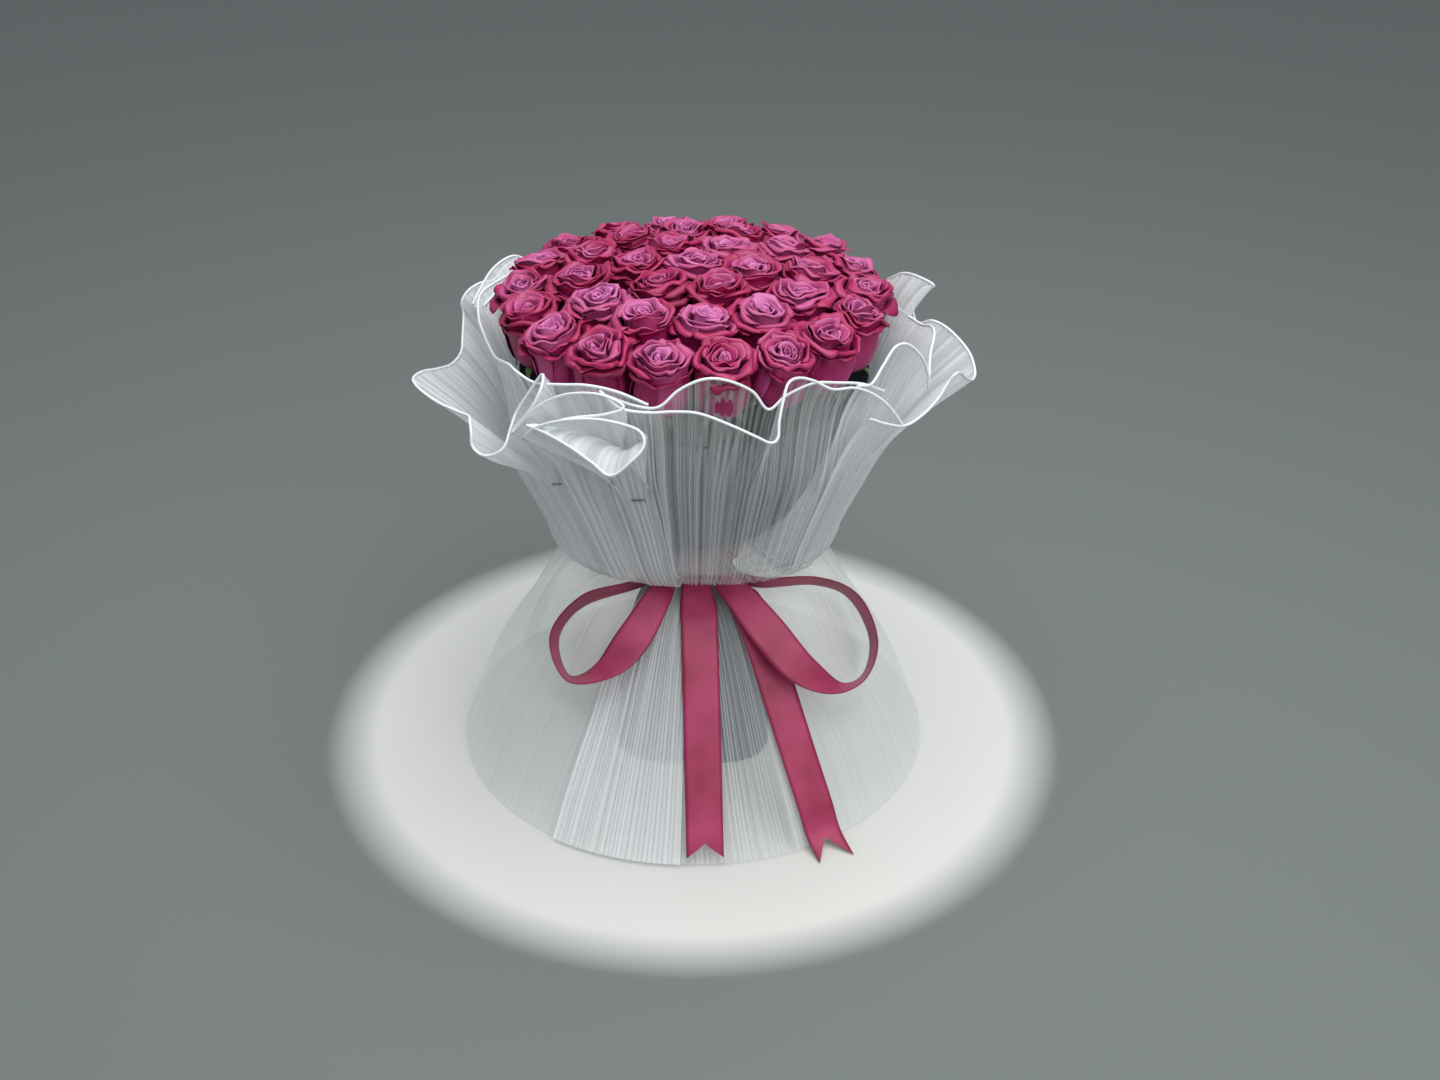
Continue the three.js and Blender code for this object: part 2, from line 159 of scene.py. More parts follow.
def makeTubeTree():
    # a round wire along every edge path of a mesh, with small cones every so often when Thorn Size isn't 0
    tree, source, sink = newTree("tubeAlongPath", [
        ("Radius", "NodeSocketFloat"), ("Sides", "NodeSocketInt"), ("Thorn Size", "NodeSocketFloat"),
        ("Thorn Spacing", "NodeSocketFloat"), ("Seed", "NodeSocketInt"), ("Material", "NodeSocketMaterial"),
    ])
    node, link = tree.nodes.new, tree.links.new
    path, circle = node("GeometryNodeMeshToCurve"), node("GeometryNodeCurvePrimitiveCircle")
    tube = node("GeometryNodeCurveToMesh")
    link(source.outputs["Geometry"], path.inputs["Mesh"])
    link(source.outputs["Sides"], circle.inputs["Resolution"])
    link(source.outputs["Radius"], circle.inputs["Radius"])
    link(path.outputs[0], tube.inputs["Curve"])
    link(circle.outputs[0], tube.inputs["Profile Curve"])
    tube.inputs["Fill Caps"].default_value = True
    shade = node("GeometryNodeSetShadeSmooth")
    link(tube.outputs[0], shade.inputs["Geometry"])

    spots = node("GeometryNodeCurveToPoints")
    spots.mode = "LENGTH"
    link(path.outputs[0], spots.inputs["Curve"])
    link(source.outputs["Thorn Spacing"], spots.inputs["Length"])
    cone = node("GeometryNodeMeshCone")
    cone.inputs["Vertices"].default_value = 5
    link(source.outputs["Thorn Size"], cone.inputs["Depth"])
    link(mathNode(tree, "MULTIPLY", source.outputs["Thorn Size"], 0.4), cone.inputs["Radius Bottom"])
    turn = node("FunctionNodeRandomValue")
    turn.data_type = "FLOAT"
    turn.inputs["Max"].default_value = math.tau
    link(source.outputs["Seed"], turn.inputs["Seed"])
    angle = turn.outputs[1]
    aim, outward = node("FunctionNodeAlignEulerToVector"), node("ShaderNodeCombineXYZ")
    aim.axis = "Z"
    link(mathNode(tree, "COSINE", angle), outward.inputs["X"])
    link(mathNode(tree, "SINE", angle), outward.inputs["Y"])
    link(outward.outputs[0], aim.inputs["Vector"])
    thorns = node("GeometryNodeInstanceOnPoints")
    link(spots.outputs[0], thorns.inputs["Points"])
    link(cone.outputs[0], thorns.inputs["Instance"])
    link(aim.outputs[0], thorns.inputs["Rotation"])
    shift, reach = node("ShaderNodeVectorMath"), node("GeometryNodeTranslateInstances")
    shift.operation = "SCALE"
    link(outward.outputs[0], shift.inputs[0])
    link(mathNode(tree, "MULTIPLY", source.outputs["Radius"], 0.8), shift.inputs["Scale"])
    link(thorns.outputs[0], reach.inputs["Instances"])
    link(shift.outputs[0], reach.inputs["Translation"])
    reach.inputs["Local Space"].default_value = False
    wanted, none = node("GeometryNodeSwitch"), node("FunctionNodeCompare")
    wanted.input_type = "GEOMETRY"
    link(source.outputs["Thorn Size"], none.inputs[0])
    none.operation = "GREATER_THAN"
    link(none.outputs[0], wanted.inputs["Switch"])
    link(reach.outputs[0], wanted.inputs["True"])
    join = node("GeometryNodeJoinGeometry")
    link(shade.outputs[0], join.inputs[0])
    link(wanted.outputs[0], join.inputs[0])
    closeTree(tree, join.outputs[0], source, sink)
    return tree


def makePleatTree():
    # irregular pleats across a smooth sheet: across counts along them, fullness says how deep they are
    tree, source, sink = newTree("pleats", [
        ("Count", "NodeSocketFloat"), ("Depth", "NodeSocketFloat"), ("Unevenness", "NodeSocketFloat"),
        ("Seed", "NodeSocketFloat"), ("Material", "NodeSocketMaterial"),
    ])
    node, link = tree.nodes.new, tree.links.new
    across, fullness = namedFloat(tree, "across"), namedFloat(tree, "fullness")
    pleats = mathNode(tree, "MULTIPLY", across, source.outputs["Count"])

    def wander(share, offset):
        noise = node("ShaderNodeTexNoise")
        noise.noise_dimensions = "1D"
        link(mathNode(tree, "ADD", mathNode(tree, "MULTIPLY", pleats, share),
                      mathNode(tree, "ADD", source.outputs["Seed"], offset)), noise.inputs["W"])
        noise.inputs["Scale"].default_value = 1
        noise.inputs["Detail"].default_value = 0
        return mathNode(tree, "SUBTRACT", noise.outputs[0], 0.5)

    stray = mathNode(tree, "MULTIPLY", wander(0.31, 0.0), source.outputs["Unevenness"])
    phase = mathNode(tree, "ADD", pleats, stray)
    wave = mathNode(tree, "SINE", mathNode(tree, "MULTIPLY", phase, math.tau))
    sized = mathNode(tree, "MULTIPLY", wave, mathNode(tree, "MULTIPLY_ADD", wander(0.45, 9.0), 1.4, 0.8))
    height = mathNode(tree, "MULTIPLY", mathNode(tree, "MULTIPLY", sized, fullness), source.outputs["Depth"])
    normal, shift = node("GeometryNodeInputNormal"), node("ShaderNodeVectorMath")
    move = node("GeometryNodeSetPosition")
    shift.operation = "SCALE"
    link(normal.outputs[0], shift.inputs[0])
    link(height, shift.inputs["Scale"])
    store = node("GeometryNodeStoreNamedAttribute")
    store.data_type = "FLOAT"
    store.inputs["Name"].default_value = "pleat"
    link(source.outputs["Geometry"], store.inputs["Geometry"])
    link(sized, store.inputs["Value"])
    link(store.outputs[0], move.inputs["Geometry"])
    link(shift.outputs[0], move.inputs["Offset"])
    closeTree(tree, move.outputs[0], source, sink)
    return tree


def grown(name, tree, mesh, values):
    # the mesh that a tree makes from another
    carrier = bpy.data.objects.new("carrier", mesh)
    scene.collection.objects.link(carrier)
    modifier = carrier.modifiers.new("tree", "NODES")
    modifier.node_group = tree
    for item in tree.interface.items_tree:
        if item.item_type == "SOCKET" and item.in_out == "INPUT" and item.name in values:
            modifier[item.identifier] = values[item.name]
    evaluated = carrier.evaluated_get(bpy.context.evaluated_depsgraph_get())
    made = bpy.data.meshes.new_from_object(evaluated)
    carrier.modifiers.clear()
    bpy.data.objects.remove(carrier)
    made.name = name
    return made


def pathMesh(points):
    mesh = bpy.data.meshes.new("path")
    count = len(points)
    mesh.from_pydata(np.asarray(points).tolist(), [(i, i + 1) for i in range(count - 1)], [])
    return mesh


def newMaterial(name, **values):
    material = bpy.data.materials.new(name)
    material.use_nodes = True
    shader = material.node_tree.nodes["Principled BSDF"]
    for key, value in values.items():
        shader.inputs[key].default_value = value
    return material, material.node_tree, shader


def colour(r, g, b):
    # a colour given as it looks on a screen, from 0 to 255
    return tuple(((c / 255 + 0.055) / 1.055) ** 2.4 if c > 10 else c / 3294 for c in (r, g, b)) + (1,)


def ramp(tree, value, *stops):
    node = tree.nodes.new("ShaderNodeValToRGB")
    tree.links.new(value, node.inputs[0])
    elements = node.color_ramp.elements
    while len(elements) < len(stops):
        elements.new(0.5)
    for element, (place, shade) in zip(elements, stops):
        element.position = place
        element.color = shade if isinstance(shade, tuple) else (shade, shade, shade, 1)
    return node.outputs[0]


def mixed(tree, share, first, second):
    node = tree.nodes.new("ShaderNodeMix")
    node.data_type = "RGBA"
    for socket, value in ((node.inputs[0], share), (node.inputs[6], first), (node.inputs[7], second)):
        if isinstance(value, bpy.types.NodeSocket):
            tree.links.new(value, socket)
        else:
            socket.default_value = value
    return node.outputs[2]


def attribute(tree, name):
    node = tree.nodes.new("ShaderNodeAttribute")
    node.attribute_name = name
    return node.outputs["Fac"]


def noise(tree, scale, detail=3.0, stretch=(1, 1, 1), onUv=False):
    place, mapping, texture = (tree.nodes.new(kind) for kind in (
        "ShaderNodeTexCoord", "ShaderNodeMapping", "ShaderNodeTexNoise"))
    tree.links.new(place.outputs["UV" if onUv else "Object"], mapping.inputs["Vector"])
    mapping.inputs["Scale"].default_value = stretch
    tree.links.new(mapping.outputs[0], texture.inputs["Vector"])
    texture.inputs["Scale"].default_value = scale
    texture.inputs["Detail"].default_value = detail
    return texture.outputs[0]


def addBump(tree, shader, height, strength, distance):
    bump = tree.nodes.new("ShaderNodeBump")
    bump.inputs["Strength"].default_value = strength
    bump.inputs["Distance"].default_value = distance
    tree.links.new(height, bump.inputs["Height"])
    tree.links.new(bump.outputs[0], shader.inputs["Normal"])


# colours of the petals; the darkest, for the inner faces deep in the cup, is painted shade
petalLook = {
    "outside": colour(148, 0, 76), "outsideBase": colour(210, 66, 146), "inside": colour(190, 62, 138),
    "insidePaintedShade": colour(52, 0, 26), "edge": colour(158, 0, 70), "lilac": colour(210, 122, 184),
    "wine": colour(116, 0, 54),
}


def makePetalMaterial():
    material, tree, shader = newMaterial("rosePetal", Roughness=0.46, **{
        "Sheen Weight": 0.03, "Sheen Roughness": 0.4})
    rise, rim, inner, tint = (attribute(tree, name) for name in ("rise", "rim", "inner", "tint"))
    veins = noise(tree, 1.0, 2.0, (60, 4, 1), True)
    patches = noise(tree, 55.0, 2.0)
    low = mixed(tree, ramp(tree, rise, (0.12, 1.0), (0.62, 0.0)),
                petalLook["outside"], petalLook["outsideBase"])
    outside = mixed(tree, ramp(tree, veins, (0.35, 0.0), (0.75, 0.35)), low, petalLook["outsideBase"])
    # towards the base of the petals the inner faces darken to a near black crimson: painted shade for the
    # bottom of the cup
    shadedInside = mixed(tree, ramp(tree, rise, (0.45, 1.0), (0.86, 0.0)),
                   petalLook["inside"], petalLook["insidePaintedShade"])
    inside = mixed(tree, ramp(tree, veins, (0.35, 0.0), (0.75, 0.3)), shadedInside, petalLook["outside"])
    faces = mixed(tree, inner, outside, inside)
    edged = mixed(tree, ramp(tree, mathNode(tree, "ADD", rim, mathNode(tree, "MULTIPLY", patches, 0.3)),
                             (0.84, 0.0), (1.06, 0.9)), faces, petalLook["edge"])
    lilac = mixed(tree, ramp(tree, tint, (0.36, 0.0), (0.95, 0.85)), edged, petalLook["lilac"])
    wine = mixed(tree, ramp(tree, tint, (0.0, 0.6), (0.36, 0.0)), lilac, petalLook["wine"])
    tree.links.new(wine, shader.inputs["Base Color"])
    addBump(tree, shader, veins, 0.25, 0.0006)
    return material


def makeLeafMaterial():
    material, tree, shader = newMaterial("roseGreen", Roughness=0.5)
    tree.links.new(ramp(tree, noise(tree, 90.0), (0.3, colour(58, 84, 44)), (0.7, colour(98, 126, 66))),
                   shader.inputs["Base Color"])
    return material


def makeOrganzaMaterial(name, low, high, shade, edge):
    # threads and pleats show as lighter, denser streaks; low and high are its alpha between and on them;
    # shade darkens the colour between the streaks, and is set lower on sheets that lie in shade: painted
    # shade
    material, tree, shader = newMaterial(name, Roughness=0.42, **{
        "Sheen Weight": 0.3, "Sheen Roughness": 0.4, "Specular IOR Level": 0.35})
    streaks = noise(tree, 1.0, 3.0, (520, 0.8, 1), True)
    broad = noise(tree, 1.0, 2.0, (80, 0.6, 1), True)
    ridge = mathNode(tree, "MULTIPLY_ADD", attribute(tree, "pleat"), 0.34, 0.5)
    pleated = mathNode(tree, "ADD", mathNode(tree, "MULTIPLY", broad, 0.30),
                       mathNode(tree, "MULTIPLY", ridge, 0.22))
    blend = mathNode(tree, "ADD", mathNode(tree, "MULTIPLY", streaks, 0.50), pleated)
    fabric = ramp(tree, blend, (0.40, low), (0.66, high))
    across = attribute(tree, "across")
    edges = mathNode(tree, "MAXIMUM", ramp(tree, across, (0.976, 0.0), (0.980, edge)),
                     ramp(tree, across, (0.012, edge), (0.018, 0.0)))
    tree.links.new(mathNode(tree, "MAXIMUM", fabric, edges), shader.inputs["Alpha"])
    tone = (0.92, 0.95, 0.965, 1)
    dim = tuple(shade * c for c in tone[:3]) + (1,)
    tree.links.new(ramp(tree, blend, (0.38, dim), (0.60, tone)), shader.inputs["Base Color"])
    return material


def makeHemMaterial():
    material, tree, shader = newMaterial("hemWire", Roughness=0.35, **{"Sheen Weight": 0.2})
    tree.links.new(ramp(tree, noise(tree, 900.0), (0.3, colour(222, 227, 230)), (0.7, colour(240, 244, 246))),
                   shader.inputs["Base Color"])
    return material


def makeRibbonMaterial():
    material, tree, shader = newMaterial("satinRibbon", Roughness=0.42, **{
        "Sheen Weight": 0.15, "Sheen Roughness": 0.35, "Specular IOR Level": 0.45})
    ribs = noise(tree, 1.0, 0.0, (3, 1400, 1), True)
    # the large cloudy patches, lighter and darker, are painted sheen and painted shade on the satin
    sheenAndShadeCloud = noise(tree, 24.0, 2.0)
    tone = ramp(tree, sheenAndShadeCloud, (0.3, colour(146, 32, 72)), (0.7, colour(186, 62, 104)))
    border = ramp(tree, attribute(tree, "selvedge"), (0.8, 0.0), (0.95, 0.6))
    woven = mixed(tree, border, tone, colour(126, 30, 62))
    tree.links.new(woven, shader.inputs["Base Color"])
    addBump(tree, shader, ribs, 0.3, 0.0003)
    return material


def makePaperMaterial():
    material, tree, shader = newMaterial("slatePaper", Roughness=0.8)
    tree.links.new(ramp(tree, noise(tree, 40.0), (0.3, colour(56, 64, 76)), (0.7, colour(74, 84, 98))),
                   shader.inputs["Base Color"])
    addBump(tree, shader, noise(tree, 260.0), 0.2, 0.0005)
    return material


def makeTapeMaterial():
    material, tree, shader = newMaterial("stemTape", Roughness=0.6)
    bands = noise(tree, 120.0, 2.0, (1, 1, 6))
    tree.links.new(ramp(tree, bands, (0.3, colour(70, 96, 52)), (0.7, colour(96, 122, 70))),
                   shader.inputs["Base Color"])
    return material


def makeSteelMaterial():
    material, tree, shader = newMaterial("stapleSteel", Metallic=1.0)
    tree.links.new(ramp(tree, noise(tree, 400.0), (0.3, 0.28), (0.7, 0.42)), shader.inputs["Roughness"])
    tree.links.new(ramp(tree, noise(tree, 300.0), (0.3, colour(126, 128, 130)), (0.7, colour(152, 154, 156))),
                   shader.inputs["Base Color"])
    return material


tubeTree, pleatTree = makeTubeTree(), makePleatTree()
petalMaterial, leafMaterial = makePetalMaterial(), makeLeafMaterial()
# each sheet gets its own copy of the organza; the third number (shade) darkens that copy, most on the
# collar's front panel, as painted shade
organza = {
    "collarFront": makeOrganzaMaterial("collarFrontOrganza", 0.08, 0.48, 0.84, 0.4),
    "collarSide": makeOrganzaMaterial("collarSideOrganza", 0.38, 0.68, 0.96, 0.9),
    "skirtFan": makeOrganzaMaterial("skirtFanOrganza", 0.50, 0.74, 0.94, 0.0),
    "skirtMiddle": makeOrganzaMaterial("skirtMiddleOrganza", 0.18, 0.46, 0.90, 0.0),
    "skirtWing": makeOrganzaMaterial("skirtWingOrganza", 0.37, 0.42, 0.98, 0.0),
}
hemMaterial, ribbonMaterial = makeHemMaterial(), makeRibbonMaterial()
paperMaterial, tapeMaterial, steelMaterial = makePaperMaterial(), makeTapeMaterial(), makeSteelMaterial()
print("materials and trees made")


rose = {
    "rings": 3, "ringTurns": [0, 25, 6, 10], "pitch": 0.043, "length": 0.055, "widest": 0.0286, "top": 0.443,
    "drop": 0.0023, "tilt": 4.5, "stemRadius": 0.0023, "tie": 0.190, "tiePitch": 0.0064, "footPitch": 0.013,
    "twist": 35, "petalThickness": 0.00055, "petalRows": 13, "petalColumns": 11, "sepalThickness": 0.0006,
    "nod": 0.09, "stemSides": 8, "lowerRows": 12, "upperRows": 10, "thorn": 0.0035,
    "thornSpacing": 0.045, "seed": 7,
}
# petals of a bloom, from the outside in: how many, widest and top radius, height, roll of the lip, half width
petalLayers = [
    (5, 0.0208, 0.0196, 0.0436, 0.0056, 44),
    (5, 0.0200, 0.0184, 0.0484, 0.0050, 46),
    (4, 0.0180, 0.0156, 0.0514, 0.0046, 56),
    (4, 0.0150, 0.0120, 0.0530, 0.0036, 62),
    (3, 0.0114, 0.0086, 0.0528, 0.0022, 80),
    (3, 0.0078, 0.0052, 0.0520, 0.0010, 88),
    (2, 0.0044, 0.0024, 0.0508, 0.0002, 130),
]


def petalGrid(rng, widest, top, height, roll, halfWidth, turn):
    u = np.linspace(-1, 1, rose["petalColumns"])[None, :]
    v = np.linspace(0, 1, rose["petalRows"])[:, None] ** 0.9
    roll = roll * rng.uniform(0.2, 1.7)
    profile = [
        (0.10 * widest, 0.0), (0.62 * widest, 0.07 * height), (0.93 * widest, 0.24 * height),
        (widest, 0.48 * height), (0.5 * (widest + top), 0.72 * height), (top + 0.10 * roll, 0.90 * height),
        (top + 0.55 * roll, height), (top + roll, height - 0.35 * roll),
    ]
    corner = 0.15 * np.abs(u) ** 2.6
    place = v * (1 - corner)
    section = smoothCurve(profile, place)
    reach, rise = section[..., 0], section[..., 1]
    curled = smoothStep((place - 0.72) / 0.28)
    side = rng.uniform(-0.5, 0.5)
    lip = roll * (0.7 * np.abs(u - 0.3 * side) ** 2 * curled)
    wave = (0.0013 * np.sin(2.6 * u + rng.uniform(0, 6))
            + 0.0007 * np.sin(6.5 * u + rng.uniform(0, 6))) * curled
    reach = reach * (1 + 0.055 * u) + lip * 0.8 + wave
    point = rng.uniform(0.0006, 0.0034)
    rise = rise - lip * 0.9 + point * np.exp(-((u - 0.4 * side) / 0.28) ** 2) * curled * min(roll / 0.003, 1)
    spread = halfWidth * (0.42 + 0.58 * smoothStep(place / 0.5)) * (1 - 0.10 * curled)
    azimuth = turn + u * spread + 3 * rng.uniform(-1, 1) * place
    rim = np.maximum(np.abs(u) ** 1.5 * place ** 0.5, place + corner) * np.ones_like(azimuth)
    return polar(reach, azimuth, rise), rim, np.broadcast_to(place, azimuth.shape), u * np.ones_like(azimuth)


def crumpled(points, rng):
    # slow waves that grow towards the lips, so no two blooms open alike
    grows = smoothStep((points[:, 2:] - 0.012) / 0.035)
    moved = points.copy()
    for size, pitch in ((0.0016, 0.030), (0.0009, 0.014)):
        for k in range(3):
            along = rng.normal(size=3)
            along /= np.linalg.norm(along)
            push = rng.normal(size=3)
            push /= np.linalg.norm(push)
            phase = math.tau * (points @ along)[:, None] / pitch + rng.uniform(0, 6)
            moved += grows * size * np.sin(phase) * push
    return moved


def bloomArrays(rng):
    points, faces, values, uvs = [], [], [], []
    start = 0
    bloomTint = np.clip(rng.normal(0.42, 0.2), 0, 1)
    turn = rng.uniform(0, 360)
    openness = rng.uniform(0.95, 1.04)
    for layer, (count, widest, top, height, roll, halfWidth) in enumerate(petalLayers):
        turn += 360 / count * 0.5 + rng.uniform(-9, 9)
        for k in range(count):
            grid, rim, rise, across = petalGrid(
                rng, widest * rng.uniform(0.97, 1.03), top * openness * rng.uniform(0.92, 1.06),
                height * rng.uniform(0.95, 1.02), roll, halfWidth * rng.uniform(0.94, 1.06),
                turn + 360 * k / count + rng.uniform(-10, 10))
            solid, quads = thinSolid(grid, rose["petalThickness"])
            half = grid.shape[0] * grid.shape[1]
            points.append(solid)
            faces.append(quads + start)
            tint = np.clip(0.6 * bloomTint - 0.06 + 0.11 * layer + rng.uniform(-0.14, 0.14), 0, 1)
            # the first face looks outwards
            inner = np.concatenate([np.zeros(half), np.ones(half)])
            shades = [np.tile(rim.ravel(), 2), np.tile(rise.ravel(), 2), inner, np.full(2 * half, tint)]
            values.append(np.stack(shades, -1))
            uvs.append(np.tile(np.stack([across.ravel() * 0.5 + k * 1.3 + layer, rise.ravel()], -1), (2, 1)))
            start += 2 * half
    points = crumpled(np.concatenate(points), rng)
    return points, np.concatenate(faces), np.concatenate(values), np.concatenate(uvs)


def greenArrays(rng):
    # a small cup under the petals with five pointed sepals folded down from it
    sides, rows, sepals, columns = 12, 7, 5, 4
    angles = np.linspace(0, 360, sides, endpoint=False)
    cup = smoothCurve([
        (0.0023, -0.0135), (0.0030, -0.009), (0.0052, -0.005), (0.0058, -0.001), (0.0036, 0.0015),
    ], np.linspace(0, 1, rows))
    rings = polar(cup[:, :1] * np.ones((1, sides)), angles[None, :], cup[:, 1:] * np.ones((1, sides)))
    points, faces = [rings.reshape(-1, 3)], [gridFaces(rows, sides, True)]
    start = rows * sides
    for k in range(sepals):
        u, v = np.linspace(-1, 1, columns)[None, :], np.linspace(0, 1, rows)[:, None]
        section = smoothCurve([
            (0.005, -0.001), (0.012, 0.003), (0.0175, 0.008), (0.0215, 0.006), (0.0235, 0.000)], v[:, 0])
        spread = 20 * (1 - v ** 1.6) * 0.9 + 0.5
        azimuth = 360 / sepals * k + rng.uniform(-8, 8) + u * spread
        grid = polar(section[:, :1] * np.ones((1, columns)), azimuth, section[:, 1:] - 0.0012 * np.abs(u))
        solid, quads = thinSolid(grid, rose["sepalThickness"])
        points.append(solid)
        faces.append(quads + start)
        start += len(solid)
    return np.concatenate(points), np.concatenate(faces)


def turnedTo(points, base, axis, spin):
    side = np.cross((0.0, 1.0, 0.0), axis)
    side /= np.linalg.norm(side)
    other = np.cross(axis, side)
    c, s = math.cos(spin), math.sin(spin)
    x, y = points[:, 0] * c - points[:, 1] * s, points[:, 0] * s + points[:, 1] * c
    return base + x[:, None] * side + y[:, None] * other + points[:, 2:] * axis


def makeRoses():
    number = 0
    for ring in range(rose["rings"] + 1):
        inRing = max(6 * ring, 1)
        for k in range(inRing):
            number += 1
            rng = np.random.default_rng(rose["seed"] * 1000 + number)
            azimuth = 270 + rose["ringTurns"][ring] + 360 * k / inRing
            tilt = math.radians(ring * rose["tilt"])
            upright = polar(math.sin(tilt), azimuth, math.cos(tilt))
            axis = upright + rng.uniform(-1, 1, 3) * (rose["nod"], rose["nod"], 0)
            axis /= np.linalg.norm(axis)
            lift = rose["top"] - rose["length"] + rose["widest"] - rose["drop"] * ring ** 2
            middle = polar(ring * rose["pitch"], azimuth, lift)
            base = middle - axis * rose["widest"]
            neck = base - axis * rose["length"] / 4
            petals, petalFaces, values, uv = bloomArrays(rng)
            greens, greenFaces = greenArrays(rng)
            spin = rng.uniform(0, math.tau)
            petals, greens = (turnedTo(p, base, axis, spin) for p in (petals, greens))

            tie = polar(ring * rose["tiePitch"], azimuth + rose["twist"], rose["tie"])
            foot = polar(ring * rose["footPitch"], azimuth + 2 * rose["twist"], 0.0)
            lower = tie + np.linspace(0, 1, rose["lowerRows"])[::-1, None] * (foot - tie)
            upper = tie + np.linspace(0, 1, rose["upperRows"])[1:, None] * (neck + axis * 0.004 - tie)
            lower[0, 2] = 0.0
            stem = grown("stem", tubeTree, pathMesh(np.vstack([lower, upper])), {
                "Radius": rose["stemRadius"], "Sides": rose["stemSides"], "Thorn Size": rose["thorn"],
                "Thorn Spacing": rose["thornSpacing"], "Seed": number, "Material": leafMaterial})
            stemPoints = np.empty(len(stem.vertices) * 3)
            stem.vertices.foreach_get("co", stemPoints)
            stemPoints = stemPoints.reshape(-1, 3)
            stemPoints[:, 2] = np.maximum(stemPoints[:, 2], 0)
            faces = petalFaces.tolist() + (greenFaces + len(petals)).tolist()
            faces += [[i + len(petals) + len(greens) for i in p.vertices] for p in stem.polygons]
            extra = len(greens) + len(stemPoints)
            values = np.vstack([values, np.zeros((extra, 4))])
            mesh = makeMesh(
                f"rose_{number:02d}_bloom", np.vstack([petals, greens, stemPoints]), faces,
                dict(zip(("rim", "rise", "inner", "tint"), values.T)), np.vstack([uv, np.zeros((extra, 2))]))
            mesh.materials.append(petalMaterial)
            mesh.materials.append(leafMaterial)
            slots = np.zeros(len(mesh.polygons), int)
            slots[len(petalFaces):] = 1
            mesh.polygons.foreach_set("material_index", slots)
            mesh.update()
            addPiece(f"rose_{number:02d}_bloom", mesh, None, [f"rose_{number:02d}"])
    print(number, "roses made")


# Outlines run from the neck outwards as (reach, height): front, side and back.
skirtOutlines = [
    [(0.036, 0.164), (0.060, 0.166), (0.088, 0.155), (0.118, 0.120), (0.150, 0.073), (0.180, 0.028),
     (0.198, 0.0)],
    [(0.036, 0.164), (0.060, 0.176), (0.085, 0.185), (0.110, 0.177), (0.143, 0.120), (0.175, 0.068),
     (0.203, 0.0)],
    [(0.036, 0.164), (0.060, 0.174), (0.085, 0.180), (0.112, 0.168), (0.146, 0.115), (0.178, 0.064),
     (0.206, 0.0)],
]
collarOutlines = [
    [(0.038, 0.207), (0.058, 0.204), (0.079, 0.198), (0.093, 0.201), (0.107, 0.228), (0.124, 0.276),
     (0.146, 0.330), (0.170, 0.384)],
    [(0.038, 0.207), (0.062, 0.204), (0.092, 0.197), (0.116, 0.201), (0.124, 0.224), (0.139, 0.258),
     (0.161, 0.300), (0.214, 0.352)],
    [(0.038, 0.207), (0.060, 0.204), (0.084, 0.199), (0.102, 0.202), (0.126, 0.227), (0.148, 0.267),
     (0.167, 0.315), (0.188, 0.376)],
]


def sheetPoint(outlines, azimuth, v, offset, turn):
    # a point of a sheet between its three outlines, moved out from them by an offset
    front, side, back = (smoothCurve(o, v) for o in outlines)
    facing = -np.sin(np.radians(azimuth))
    share = (np.abs(facing) ** 2.6)[..., None]
    end = np.where((facing > 0)[..., None], front, back)
    here = side * (1 - share) + end * share
    ends = []
    for w in (np.maximum(v - 0.02, 0), np.minimum(v + 0.02, 1)):
        front, side, back = (smoothCurve(o, w) for o in outlines)
        ends.append(side * (1 - share) + np.where((facing > 0)[..., None], front, back) * share)
    along = ends[1] - ends[0]
    along /= np.linalg.norm(along, axis=-1, keepdims=True)
    reach = here[..., 0] - turn * offset * along[..., 1]
    height = here[..., 1] + turn * offset * along[..., 0]
    return polar(reach, azimuth, height)


collar = {
    "lapGap": 0.003, "foldDepth": 0.007, "hemRadius": 0.0011, "hemSides": 7, "pleatsPerDegree": 0.5,
    "pleatDepth": 0.0011, "unevenness": 2.2, "samplesPerPleat": 6, "lowRows": 20, "highRows": 14,
    "smoothTo": 0.78, "innerSamples": 900, "seed": 3,
}
